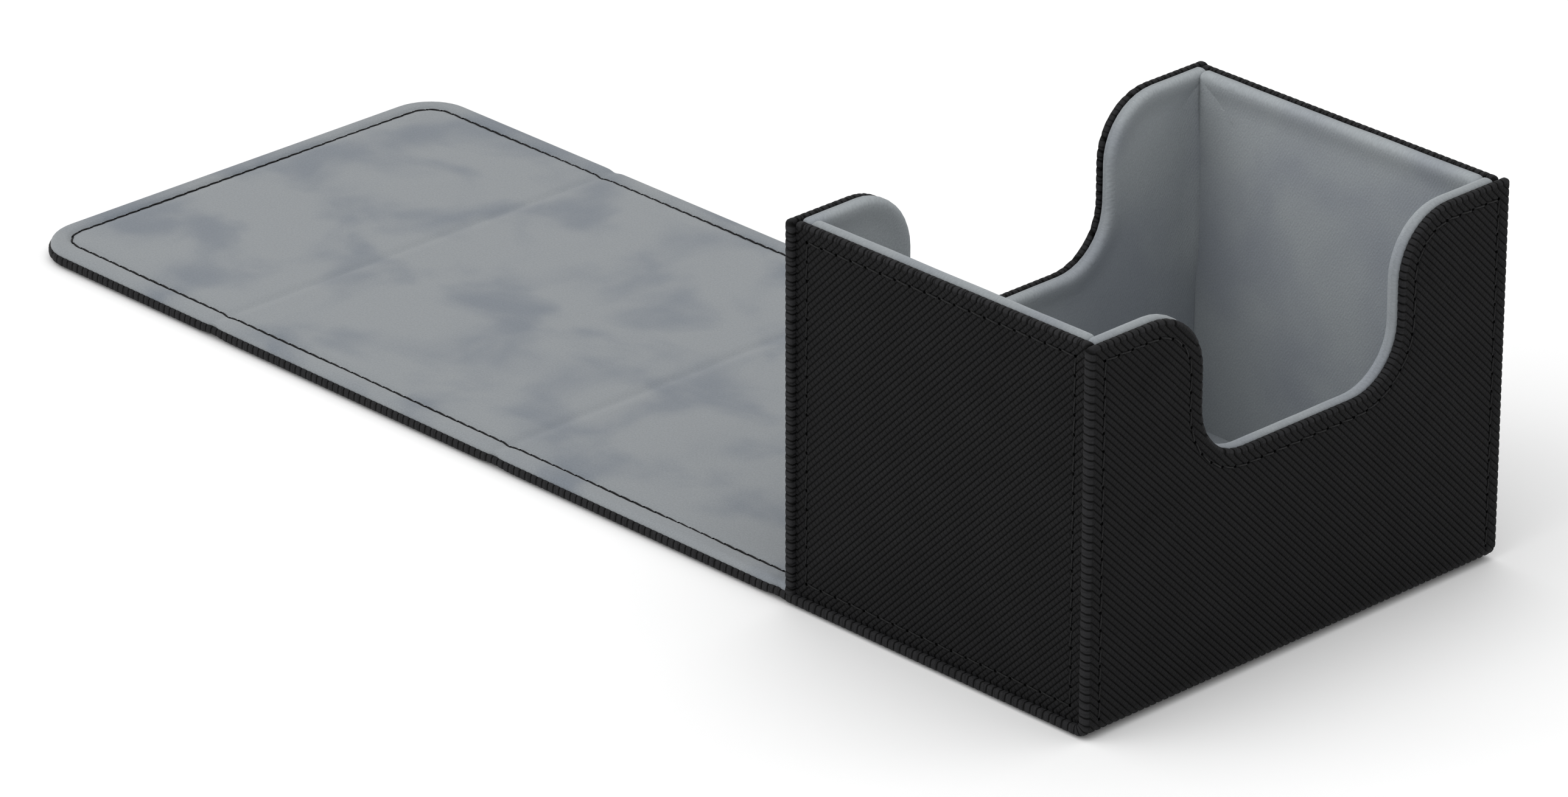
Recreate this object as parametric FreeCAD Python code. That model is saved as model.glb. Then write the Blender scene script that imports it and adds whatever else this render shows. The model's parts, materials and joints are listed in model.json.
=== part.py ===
import FreeCAD, Part
import math
import os

# A side-loading flip case for a deck of sleeved trading cards, lying open.
# A tray of covered boards holds the deck. The outer strip of ribbed synthetic leather runs
# down the front wall, under the base and out behind the tray as a cover of three panels:
# back panel, top panel and closing flap. All sizes are in millimetres.
#
# +X points out of the front wall, the cover lies towards -X, +Z is up, and the origin is
# the middle of the underside of the tray.

V = FreeCAD.Vector

# Tray, outside
TRAY_DEPTH = 74.5  # along X
TRAY_WIDTH = 104.0  # along Y, also the width of the strip
TRAY_HEIGHT = 73.4  # along Z

# Layers of every wall and panel, from outside to inside
SKIN = 0.6  # ribbed synthetic leather
BOARD = 1.2  # greyboard
LINING = 1.6  # padded microfibre

# Thumb cut-out, the same in the front and back walls
CUT_WIDTH = 49.6  # between its upright sides
CUT_DEPTH = 30.4  # below the top edge of the wall
CUT_LIP_R = 12.0  # outward corner at the top edge
CUT_FOOT_R = 11.0  # inward corner at the bottom of the cut-out

# Rims and edges of the tray
RIM_DROP = 0.7  # the skin's lip stands this far above the rolled lining
RIM_ROLL = 1.0  # lining rolled over the top edge of the board
SIDE_INSET = 0.8  # the side walls sit this far inside the strip's edges
BOTTOM_EDGE_R = 3.0  # the strip's round corner from the front wall to the base

# Cover
WALL_GAP = 0.4  # closed, between the cover and the front or back wall
TOP_GAP = 1.0  # closed, between the top panel and the tray's top edge
FLAP_LENGTH = 54.6  # from its fold's axis to its tip
FLAP_TIP_R = 10.0
FOLD_CLEARANCE = 0.3  # between a fold and the panel that swings on it
FOLD_SIDE_INSET = 0.6  # the folds are pinched narrower than the panels
LINING_SET_BACK = 0.4  # the cover's lining stops this far inside the skin's edge

# Magnets
MAGNET_R = 4.0
MAGNET_THICKNESS = 1.0
MAGNET_POCKET_CLEARANCE = 0.15
MAGNET_FROM_CUT = 10.45  # beside the upright side of the cut-out
MAGNET_BELOW_TOP = 11.4  # upper pair, below the wall's top edge
MAGNET_FROM_TIP = 13.5  # lower pair, above the tip of the closed flap

# Seams
WALL_SEAM_INSET = 3.0
COVER_SEAM_INSET = 3.7
STITCH_PITCH = 2.95
THREAD_SHARE = 0.8  # of the pitch; the rest is the needle hole
THREAD_WIDTH = 0.55
THREAD_DEPTH = 0.3
GROOVE_CLEARANCE = 0.12  # on each side of the thread

# Worked out from the sizes above
STRIP = SKIN + BOARD
WALL = STRIP + LINING
FRONT_X = TRAY_DEPTH / 2
HALF_WIDTH = TRAY_WIDTH / 2
SIDE_Y = HALF_WIDTH - SIDE_INSET
INNER_Y = SIDE_Y - WALL
AXIS_Z = WALL / 2  # each fold turns about the middle of the panel's thickness
FOLD_HALF_GAP = AXIS_Z + FOLD_CLEARANCE  # from a fold's axis to the panels' ends
REAR_AXIS_X = -FRONT_X - WALL_GAP - AXIS_Z
BACK_LENGTH = TRAY_HEIGHT + TOP_GAP
TOP_LENGTH = TRAY_DEPTH + 2 * WALL_GAP + WALL
TOP_AXIS_X = REAR_AXIS_X - BACK_LENGTH
FRONT_AXIS_X = TOP_AXIS_X - TOP_LENGTH
TIP_X = FRONT_AXIS_X - FLAP_LENGTH
CLOSED_LID_Z = AXIS_Z + BACK_LENGTH  # height of the lid's two folds when closed
MAGNET_Y = CUT_WIDTH / 2 + MAGNET_FROM_CUT
MAGNET_ROWS_Z = (TRAY_HEIGHT - MAGNET_BELOW_TOP, CLOSED_LID_Z - FLAP_LENGTH + MAGNET_FROM_TIP)
POCKET_R = MAGNET_R + MAGNET_POCKET_CLEARANCE
GROOVE_HALF = THREAD_WIDTH / 2 + GROOVE_CLEARANCE

OUT_TOP = V(0, 0, 1)
OUT_BOTTOM = V(0, 0, -1)

pieces = {}


def line(start, end):
    return Part.LineSegment(start, end).toShape()


def arc(start, middle, end):
    return Part.Arc(start, middle, end).toShape()


def block(x_range, y_range, z_range):
    low = V(x_range[0], y_range[0], z_range[0])
    return Part.makeBox(
        x_range[1] - x_range[0], y_range[1] - y_range[0], z_range[1] - z_range[0], low
    )


def plate(edges, push):
    """The flat outline made solid by pushing it along a vector."""
    return Part.Face(Part.Wire(edges)).extrude(push)


# Outlines


def wall_edges(x, z_low, side_inset=0.0, top_inset=0.0):
    """Outline of the front or back wall in the plane X = x, first the bottom edge.

    top_inset moves the top edge and the cut-out inwards together, so the arcs keep their
    centres: the outward corners get tighter and the inward ones wider.
    """
    half = HALF_WIDTH - side_inset
    top = TRAY_HEIGHT - top_inset
    lip_y = CUT_WIDTH / 2 + CUT_LIP_R
    lip_z = TRAY_HEIGHT - CUT_LIP_R
    lip_r = CUT_LIP_R - top_inset
    foot_y = CUT_WIDTH / 2 - CUT_FOOT_R
    foot_z = TRAY_HEIGHT - CUT_DEPTH + CUT_FOOT_R
    foot_r = CUT_FOOT_R + top_inset
    slant = math.sqrt(0.5)

    def at(y, z):
        return V(x, y, z)

    right = [
        line(at(half, z_low), at(half, top)),
        line(at(half, top), at(lip_y, top)),
        arc(
            at(lip_y, top),
            at(lip_y - lip_r * slant, lip_z + lip_r * slant),
            at(lip_y - lip_r, lip_z),
        ),
        line(at(lip_y - lip_r, lip_z), at(foot_y + foot_r, foot_z)),
        arc(
            at(foot_y + foot_r, foot_z),
            at(foot_y + foot_r * slant, foot_z - foot_r * slant),
            at(foot_y, foot_z - foot_r),
        ),
    ]
    across = line(at(foot_y, foot_z - foot_r), at(-foot_y, foot_z - foot_r))
    left = [edge.mirror(V(0, 0, 0), V(0, 1, 0)) for edge in reversed(right)]
    return [line(at(-half, z_low), at(half, z_low))] + right + [across] + left


def side_edges(y, inset_ends=0.0, inset_bottom=0.0, inset_top=0.0):
    """Outline of a side wall in the plane Y = y. It stands on the strip, between its walls."""
    end = FRONT_X - STRIP - inset_ends
    low = STRIP + inset_bottom
    top = TRAY_HEIGHT - inset_top
    corners = [V(-end, y, low), V(end, y, low), V(end, y, top), V(-end, y, top)]
    return [line(corners[i], corners[(i + 1) % 4]) for i in range(4)]


def panel_edges(z, near_x, far_x, inset=0.0, tip_r=0.0):
    """Outline of a cover panel in the plane Z = z, first the edge nearest the tray.

    The inset is from the long edges, and from the rounded tip of the closing flap.
    """
    half = HALF_WIDTH - inset
    near = line(V(near_x, -half, z), V(near_x, half, z))
    if not tip_r:
        corners = [V(near_x, half, z), V(far_x, half, z), V(far_x, -half, z), V(near_x, -half, z)]
        return [near] + [line(corners[i], corners[i + 1]) for i in range(3)]
    far = far_x + inset
    centre_x = far_x + tip_r
    centre_y = HALF_WIDTH - tip_r
    radius = tip_r - inset
    slant = radius * math.sqrt(0.5)
    side = line(V(near_x, half, z), V(centre_x, half, z))
    corner = arc(
        V(centre_x, half, z),
        V(centre_x - slant, centre_y + slant, z),
        V(far, centre_y, z),
    )
    tip = line(V(far, centre_y, z), V(far, -centre_y, z))
    other = [edge.mirror(V(0, 0, 0), V(0, 1, 0)) for edge in (corner, side)]
    return [near, side, corner, tip] + other


# Seams


def threads(edges, outward):
    """One short thread per stitch along the edges, flush with the surface that they lie in."""
    made = []
    for edge in edges:
        count = max(1, round(edge.Length / STITCH_PITCH))
        step = edge.Length / count
        length = step * THREAD_SHARE
        for i in range(count):
            place = edge.getParameterByLength((i + 0.5) * step)
            along = edge.tangentAt(place)
            turn = FreeCAD.Rotation(along, outward.cross(along), outward, "XYZ")
            thread = Part.makeBox(
                length, THREAD_WIDTH, THREAD_DEPTH, V(-length / 2, -THREAD_WIDTH / 2, -THREAD_DEPTH)
            )
            thread.Placement = FreeCAD.Placement(edge.valueAt(place), turn)
            made.append(thread)
    return made


def groove(outline, outward, inset):
    """The shallow channel that a seam pulls into a surface. outline gives edges for an inset."""
    push = outward * -THREAD_DEPTH
    return plate(outline(inset - GROOVE_HALF), push).cut(plate(outline(inset + GROOVE_HALF), push))


# Tray


def strip_band(outer, inner):
    """Side profile of the base strip between two depths below its outer face, at Y = 0."""
    corner_x = FRONT_X - BOTTOM_EDGE_R
    slant = math.sqrt(0.5)

    def round_corner(depth):
        radius = BOTTOM_EDGE_R - depth
        return [
            V(corner_x, 0, depth),
            V(corner_x + radius * slant, 0, BOTTOM_EDGE_R - radius * slant),
            V(corner_x + radius, 0, BOTTOM_EDGE_R),
        ]

    low, high = round_corner(outer), round_corner(inner)
    back_low, back_high = V(-FRONT_X, 0, outer), V(-FRONT_X, 0, inner)
    return [
        line(back_low, low[0]),
        arc(*low),
        line(low[2], high[2]),
        arc(*reversed(high)),
        line(high[0], back_high),
        line(back_high, back_low),
    ]


def base():
    """Base skin with its round front corner and turned side edges, its board and floor lining."""
    sheet = plate(strip_band(0, SKIN), V(0, TRAY_WIDTH, 0))
    sheet.translate(V(0, -HALF_WIDTH, 0))
    turned = plate(strip_band(SKIN, STRIP), V(0, SKIN, 0))
    near, far = turned.copy(), turned.copy()
    near.translate(V(0, -HALF_WIDTH, 0))
    far.translate(V(0, HALF_WIDTH - SKIN, 0))
    pieces["base_skin"] = sheet.fuse([near, far]).removeSplitter()
    board_y = HALF_WIDTH - SKIN
    pieces["base_board"] = block(
        (-FRONT_X, FRONT_X - BOTTOM_EDGE_R), (-board_y, board_y), (SKIN, STRIP)
    )
    floor_x, floor_y = FRONT_X - STRIP, SIDE_Y - STRIP
    pieces["floor_lining"] = block((-floor_x, floor_x), (-floor_y, floor_y), (STRIP, WALL))


def discs(places, outward, radius, thickness):
    """A round disc let in from each place, against the way the surface faces."""
    return [Part.makeCylinder(radius, thickness, place, outward * -1) for place in places]


def end_wall(name, side, z_low, magnets):
    """Front (side 1) or back (side -1) wall: skin with turned sides, board and rolled lining."""
    outward = V(side, 0, 0)
    face_x = side * FRONT_X
    board_x = side * (FRONT_X - SKIN)
    lining_x = side * (FRONT_X - STRIP)
    board_depths = sorted((board_x, lining_x))

    def face(inset):
        return wall_edges(face_x, z_low, inset, inset)

    skin = plate(face(0), outward * -SKIN)
    for turned_y in ((-HALF_WIDTH, SKIN - HALF_WIDTH), (HALF_WIDTH - SKIN, HALF_WIDTH)):
        skin = skin.fuse(block(board_depths, turned_y, (z_low, TRAY_HEIGHT)))
    skin = skin.removeSplitter().cut(groove(face, outward, WALL_SEAM_INSET))
    pieces[name + "_wall_skin"] = skin

    inward = outward * -BOARD
    board = plate(wall_edges(board_x, z_low, SKIN, RIM_DROP + RIM_ROLL), inward)
    roll = plate(wall_edges(board_x, z_low, SKIN, RIM_DROP), inward).cut(board)
    if magnets:
        places = [V(board_x, y, z) for y in (-MAGNET_Y, MAGNET_Y) for z in MAGNET_ROWS_Z]
        board = board.cut(discs(places, outward, POCKET_R, BOARD))
        magnet_discs = discs(places, outward, MAGNET_R, MAGNET_THICKNESS)
        pieces["tray_magnets"] = Part.makeCompound(magnet_discs)
    pieces[name + "_wall_board"] = board

    inner_edges = wall_edges(lining_x, WALL, HALF_WIDTH - INNER_Y, RIM_DROP)
    inner = plate(inner_edges, outward * -LINING)
    pieces[name + "_wall_lining"] = inner.fuse(roll).removeSplitter()
    seam = face(WALL_SEAM_INSET)[1:]
    pieces[name + "_wall_stitching"] = Part.makeCompound(threads(seam, outward))


def side_wall(name, side):
    """Left (side -1, nearest -Y) or right (side 1) wall, with its skin turned in on three edges."""
    outward = V(0, side, 0)
    face_y = side * SIDE_Y
    board_y = side * (SIDE_Y - SKIN)
    lining_y = side * (SIDE_Y - STRIP)

    def face(inset):
        return side_edges(face_y, inset, inset, inset)

    turned = plate(side_edges(face_y), outward * -STRIP)
    turned = turned.cut(plate(side_edges(board_y, SKIN, SKIN), outward * -BOARD))
    pieces[name + "_wall_skin"] = turned.cut(groove(face, outward, WALL_SEAM_INSET))

    inward = outward * -BOARD
    board = plate(side_edges(board_y, SKIN, SKIN, RIM_DROP + RIM_ROLL), inward)
    roll = plate(side_edges(board_y, SKIN, SKIN, RIM_DROP), inward).cut(board)
    pieces[name + "_wall_board"] = board
    inner = plate(side_edges(lining_y, 0, LINING, RIM_DROP), outward * -LINING)
    pieces[name + "_wall_lining"] = inner.fuse(roll).removeSplitter()
    seam = face(WALL_SEAM_INSET)
    pieces[name + "_wall_stitching"] = Part.makeCompound(threads(seam, outward))


# Cover


def cover_panel(name, near_x, far_x, tip_r=0.0, magnets=False):
    """One panel lying flat: skin turned up round its board, and a padded lining on top."""
    up = OUT_TOP

    def under_face(inset):
        return panel_edges(0, near_x, far_x, inset, tip_r)

    def top_face(inset):
        return panel_edges(WALL, near_x, far_x, inset, tip_r)

    def board_face(inset):
        return panel_edges(SKIN, near_x, far_x, inset, tip_r)

    board = plate(board_face(SKIN), up * BOARD)
    skin = plate(under_face(0), up * STRIP).cut(board)
    pieces[name + "_skin"] = skin.cut(groove(under_face, OUT_BOTTOM, COVER_SEAM_INSET))
    if magnets:
        places = [
            V(FRONT_AXIS_X - (CLOSED_LID_Z - z), y, SKIN)
            for y in (-MAGNET_Y, MAGNET_Y)
            for z in MAGNET_ROWS_Z
        ]
        board = board.cut(discs(places, OUT_BOTTOM, POCKET_R, BOARD))
        magnet_discs = discs(places, OUT_BOTTOM, MAGNET_R, MAGNET_THICKNESS)
        pieces["flap_magnets"] = Part.makeCompound(magnet_discs)
    pieces[name + "_board"] = board
    lining = plate(panel_edges(STRIP, near_x, far_x, LINING_SET_BACK, tip_r), up * LINING)
    pieces[name + "_lining"] = lining.cut(groove(top_face, up, COVER_SEAM_INSET))

    made = []
    for outline, outward in ((top_face, up), (under_face, OUT_BOTTOM)):
        edges = outline(COVER_SEAM_INSET)
        seam = edges[1:] if tip_r else [edges[1], edges[3]]
        made += threads(seam, outward)
    pieces[name + "_stitching"] = Part.makeCompound(made)


def fold(name, axis_x, reach):
    """The two cloths of a fold, on the panel nearer the tray, which they touch at reach.

    The far side of the lining is round about the fold's axis, so the panel beyond it can
    swing up without touching it.
    """
    near_x = axis_x + reach
    far_x = axis_x - AXIS_Z
    half = HALF_WIDTH - FOLD_SIDE_INSET
    pieces[name + "_fold_skin"] = block((far_x, near_x), (-half, half), (0, SKIN))
    slant = AXIS_Z * math.sqrt(0.5)
    top, side = V(axis_x, -half, WALL), V(far_x, -half, AXIS_Z)
    profile = [
        line(V(near_x, -half, SKIN), V(near_x, -half, WALL)),
        line(V(near_x, -half, WALL), top),
        arc(top, V(axis_x - slant, -half, AXIS_Z + slant), side),
        line(side, V(far_x, -half, SKIN)),
        line(V(far_x, -half, SKIN), V(near_x, -half, SKIN)),
    ]
    pieces[name + "_fold_lining"] = plate(profile, V(0, 2 * half, 0))


base()
end_wall("front", 1, BOTTOM_EDGE_R, magnets=True)
end_wall("back", -1, STRIP, magnets=False)
side_wall("left", -1)
side_wall("right", 1)
cover_panel("back_panel", REAR_AXIS_X - FOLD_HALF_GAP, TOP_AXIS_X + FOLD_HALF_GAP)
cover_panel("top_panel", TOP_AXIS_X - FOLD_HALF_GAP, FRONT_AXIS_X + FOLD_HALF_GAP)
cover_panel("closing_flap", FRONT_AXIS_X - FOLD_HALF_GAP, TIP_X, FLAP_TIP_R, magnets=True)
fold("rear", REAR_AXIS_X, WALL_GAP + AXIS_Z)
fold("top", TOP_AXIS_X, FOLD_HALF_GAP)
fold("front", FRONT_AXIS_X, FOLD_HALF_GAP)

os.makedirs("parts", exist_ok=True)
for name, shape in pieces.items():
    if not shape.isValid():
        raise ValueError(name + " is not a valid solid")
    shape.exportStep("parts/" + name + ".step")
    print(f"{name}: {len(shape.Solids)} solids, {shape.Volume:.1f} mm3")
print(f"fold axes at Z {AXIS_Z:.3f}, X {REAR_AXIS_X:.3f}, {TOP_AXIS_X:.3f}, {FRONT_AXIS_X:.3f}")
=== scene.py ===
# %% [markdown]
# # A flip case for a deck of sleeved cards
# The case is covered board: black ribbed synthetic leather outside, grey microfibre inside.
# The imported model already fixes every size and every fold. This notebook only dresses it: each
# covering is made again as a thin shaped shell, in the same place; all but those over the folds
# ride on the same body.

# %% Load the frame
import bisect
import json
import math
import bmesh
import bpy
import numpy as np
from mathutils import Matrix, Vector, noise
from mathutils.geometry import tessellate_polygon


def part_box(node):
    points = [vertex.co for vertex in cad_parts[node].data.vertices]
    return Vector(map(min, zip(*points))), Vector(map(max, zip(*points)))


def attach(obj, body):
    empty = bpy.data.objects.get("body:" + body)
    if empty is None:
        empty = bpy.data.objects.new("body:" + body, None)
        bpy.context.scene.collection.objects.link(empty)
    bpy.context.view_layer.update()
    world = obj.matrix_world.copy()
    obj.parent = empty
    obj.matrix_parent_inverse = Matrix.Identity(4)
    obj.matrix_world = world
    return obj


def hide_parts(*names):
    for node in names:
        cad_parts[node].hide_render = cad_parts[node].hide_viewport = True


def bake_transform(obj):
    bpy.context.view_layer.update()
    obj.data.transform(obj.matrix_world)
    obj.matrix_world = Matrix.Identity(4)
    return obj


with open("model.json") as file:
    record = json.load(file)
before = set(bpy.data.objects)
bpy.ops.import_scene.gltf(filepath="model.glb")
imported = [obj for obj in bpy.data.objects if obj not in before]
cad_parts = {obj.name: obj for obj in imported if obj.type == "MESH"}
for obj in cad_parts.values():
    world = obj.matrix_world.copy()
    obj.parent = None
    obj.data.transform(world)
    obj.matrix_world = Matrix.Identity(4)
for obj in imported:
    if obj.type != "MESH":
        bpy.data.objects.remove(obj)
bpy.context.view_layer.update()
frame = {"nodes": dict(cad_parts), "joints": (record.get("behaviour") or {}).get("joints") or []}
MM = 0.001

# %% [markdown]
# ## The camera
# A product shot of a box is usually taken with a long lens from well above, so that the
# edges stay nearly parallel. A 196 mm lens on a 36 mm wide sensor gives that flat look.
# The camera is made first because everything else is judged through it.

# %% Camera
CAMERA_PLACE = Vector((0.9338, -0.9794, 0.6622))
CAMERA_LOOKS = Vector((-0.65599, 0.62662, -0.42074))
lens = bpy.data.cameras.new("studio_camera")
lens.sensor_width = 36.0
lens.lens = 195.72
lens.clip_start = 0.1
lens.clip_end = 20.0
camera = bpy.data.objects.new("studio_camera", lens)
camera.location = CAMERA_PLACE
camera.rotation_euler = CAMERA_LOOKS.to_track_quat("-Z", "Y").to_euler()
bpy.context.scene.collection.objects.link(camera)
bpy.context.scene.camera = camera
print("camera:", round(lens.lens), "mm lens")

# %% [markdown]
# ## Sizes
# All sizes below are in millimetres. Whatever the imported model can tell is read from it.
# Only what it can't tell, such as the radius of the thumb cut-out, is written here.

# %% Sizes from the frame


def edge_of(node, end, axis):
    """The low (0) or high (1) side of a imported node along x, y or z, in millimetres."""
    return round(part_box(node)[end]["xyz".index(axis)] / MM, 3)


FRONT_X = edge_of("front_wall_skin", 1, "x")
HALF_WIDTH = edge_of("base_skin", 1, "y")
TOP_Z = edge_of("front_wall_skin", 1, "z")
EDGE_R = edge_of("front_wall_skin", 0, "z")  # round edge between front wall and base
SIDE_Y = edge_of("right_wall_skin", 1, "y")
SIDE_END_X = edge_of("right_wall_skin", 1, "x")
STRIP = edge_of("base_skin", 0, "z") + edge_of("back_wall_skin", 0, "z")  # skin and board
INSIDE_X = edge_of("front_wall_lining", 0, "x")
INSIDE_Y = edge_of("left_wall_lining", 1, "y")
FLOOR_Z = edge_of("floor_lining", 1, "z")
COVER_TOP_Z = edge_of("top_panel_lining", 1, "z")
LINING_Y = edge_of("top_panel_lining", 1, "y")
TIP_X = edge_of("closing_flap_skin", 0, "x")
LINING_TIP_X = edge_of("closing_flap_lining", 0, "x")
AXES = {j["name"]: j["pos_m"][0] / MM for j in frame["joints"]}
REAR, TOP_FOLD, FRONT_FOLD = (AXES[f"{n}_fold_hinge"] for n in ("rear", "top", "front"))
CUT_HALF = 24.8  # thumb cut-out: half its width
CUT_FLOOR = 43.0
CUT_LIP_R = 12.0
CUT_FOOT_R = 11.0
TIP_R = 10.0
WALL_SEAM = 3.1  # seam's distance from the edge of the skin
COVER_SEAM = 4.5
FOLD_HALF = 2.6  # a fold's covering reaches this far to each side of its axis
print("tray", 2 * FRONT_X, "x", 2 * HALF_WIDTH, "x", TOP_Z, "mm")
print("folds at x", REAR, TOP_FOLD, FRONT_FOLD)

# %% [markdown]
# ## Drawing a pattern piece
# A case maker cuts flat pieces, then turns their edges round the boards. We do the same.
# A pattern piece is drawn flat, in millimetres, as corners with a radius. `edge_line` walks
# round it at any distance inside the edge, always with the same number of points, so that
# two such lines can be joined by a band of faces. The inside lies to the left of the walk.

# %% Pattern outlines
ARC_STEPS = 10
SMALLEST_R = 0.02


def edge_line(corners, inset, closed=False):
    """Points (u, v, outward u, outward v, lip) at a distance inside the pattern's edge.

    A corner is (u, v, radius, lip): lip is 1 if the edge after it is a thin standing lip.
    """
    count = len(corners)
    line = []
    for i, (u, v, radius, lip) in enumerate(corners):
        here = np.array((u, v))
        before = here - np.array(corners[i - 1][:2])
        after = np.array(corners[(i + 1) % count][:2]) - here
        if not closed and i == 0:
            before = after
        if not closed and i == count - 1:
            after = before
        n1 = np.array((-before[1], before[0])) / np.hypot(*before)
        n2 = np.array((-after[1], after[0])) / np.hypot(*after)
        reach = (n1 + n2) / (1 + n1 @ n2)
        corner = here + reach * inset
        turn = before[0] * after[1] - before[1] * after[0]
        if abs(turn) < 1e-9 * np.hypot(*before) * np.hypot(*after):
            line.append((*corner, *-n1, lip))
            continue
        side = 1 if turn > 0 else -1
        r = max(radius - side * inset, SMALLEST_R)
        centre = corner + side * reach * r
        start = math.atan2(n1[1], n1[0])
        sweep = side * math.acos(max(-1, min(1, n1 @ n2)))
        lip_before = corners[i - 1][3]
        for k in range(ARC_STEPS + 1):
            share = k / ARC_STEPS
            a = start + sweep * share
            n = np.array((math.cos(a), math.sin(a)))
            line.append((*(centre - side * r * n), *-n, lip_before + (lip - lip_before) * share))
    return line


def wall_outline(half, foot, radius, lip=1):
    """Corners of the front or back wall: up one side, along the top with its cut-out, and down."""
    right = [(CUT_HALF, TOP_Z, CUT_LIP_R, lip), (CUT_HALF, CUT_FLOOR, CUT_FOOT_R, lip)]
    left = [(-u, v, r, lip) for u, v, r, _ in reversed(right)]
    return [(half, foot, 0, 0), (half, TOP_Z, radius, lip), *right, *left,
            (-half, TOP_Z, radius, 0), (-half, foot, 0, 0)]


print("cut-out", 2 * CUT_HALF, "mm wide and", TOP_Z - CUT_FLOOR, "mm deep")

# %% [markdown]
# ## Turning the edge
# Along its edge a covering leaves the flat and goes round the board. `turned` lists that
# section as straights and bends, and gives for every distance along it how far the skin has
# gone outwards and down. Two sections are used at once and mixed by the corner's lip value:
# the plain turned edge of the strip, and the thin lip that stands above the padded rim.

# %% Sections of turned edges
SECTION_STEP = 0.02


def turned(*parts):
    """Rows of distance, outwards, down and angle along (length, radius) parts; 0 is straight."""
    rows = [(0.0, 0.0, 0.0, 0.0)]
    for length, radius in parts:
        steps = max(1, round(length / SECTION_STEP))
        for _ in range(steps):
            s, x, z, a = rows[-1]
            d = length / steps
            bend = d / radius if radius else 0.0
            middle = a + bend / 2
            rows.append((s + d, x + d * math.cos(middle), z - d * math.sin(middle), a + bend))
    return np.array(rows).T


def quarter(radius):
    return (math.pi / 2 * radius, radius)


ROUND = 0.9  # where every skin leaves the flat, measured from its edge
LIP = 1.5  # thickness of the skin's standing lip, with its turned hem
STRIP_EDGE = turned(quarter(ROUND), (STRIP - ROUND, 0), quarter(0.3), (1.4, 0))
LIP_EDGE = turned((0.3, 0), quarter(0.6), (LIP - 1.0, 0), quarter(0.4), (1.0, 0))
print("turned edge", round(STRIP_EDGE[0][-1], 2), "mm, lip", round(LIP_EDGE[0][-1], 2), "mm")

# %% [markdown]
# ## Cutting the pattern into faces
# The ribs of the leather run at 45 degrees, across every edge and seam, so a plain grid would
# turn them into steps. Instead the flat pattern is sliced along each rib, like dough with a
# pasta cutter: every face edge then lies exactly on a groove, a shoulder or a crown. The same
# slicer, with straight cuts, gives the soft linings their even mesh.

# %% The slicer


EDGE_SQUEEZE = 0.12  # how much of a pattern is left beyond a turned edge


def bands(corners, inset, rings, closed=False, squeeze=1.0):
    """Cells between edge lines, and the innermost line. Rings are distances beyond the flat.

    A point is (u, v, base u, base v, outward u, outward v, distance, lip, cut u, cut v). Beyond
    the flat, u and v are squeezed towards the edge, so that a pattern crosses it squarely.
    """
    base = edge_line(corners, inset, closed)
    lines = []
    for s in rings:
        line = edge_line(corners, inset - s, closed)
        keep = squeeze if s > 0 else 1.0
        lines.append([(b[0] + (p[0] - b[0]) * keep, b[1] + (p[1] - b[1]) * keep, *b[:4], s, b[4],
                       p[0], p[1]) for p, b in zip(line, base)])
    cells = []
    count = len(base)
    for inner, outer in zip(lines, lines[1:]):
        for i in range(count if closed else count - 1):
            j = (i + 1) % count
            cells.append([inner[i], outer[i], outer[j], inner[j]])
    return cells, lines[0]


def middle(loop):
    """Triangles that fill the innermost line."""
    flat = [Vector((p[0], p[1], 0)) for p in loop]
    return [[loop[i] for i in corner] for corner in tessellate_polygon([flat])]


def sliced(cells, direction, cuts):
    """Every cell cut where direction . (u, v) equals one of the sorted cuts."""
    a, b = direction
    done = []
    for cell in cells:
        q = [a * p[0] + b * p[1] for p in cell]
        first = bisect.bisect_right(cuts, min(q) + 1e-5)
        last = bisect.bisect_left(cuts, max(q) - 1e-5)
        for cut in cuts[first:last]:
            below, above, q_above = [], [], []
            for i in range(len(cell)):
                p, r, qp, qr = cell[i - 1], cell[i], q[i - 1], q[i]
                if (qp - cut) * (qr - cut) < 0 and abs(qp - cut) > 1e-6 and abs(qr - cut) > 1e-6:
                    t = (cut - qp) / (qr - qp)
                    crossing = tuple([x + (y - x) * t for x, y in zip(p, r)])
                    below.append(crossing)
                    above.append(crossing)
                    q_above.append(cut)
                if qr <= cut + 1e-6:
                    below.append(r)
                if qr >= cut - 1e-6:
                    above.append(r)
                    q_above.append(qr)
            done.append(below)
            cell, q = above, q_above
        done.append(cell)
    return [c for c in done if len(c) > 2]


def even_cuts(low, high, step):
    return [k * step for k in range(math.floor(low / step), math.ceil(high / step) + 1)]


SAME_POINT = 2e-6  # metres: points closer than this become one


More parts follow.
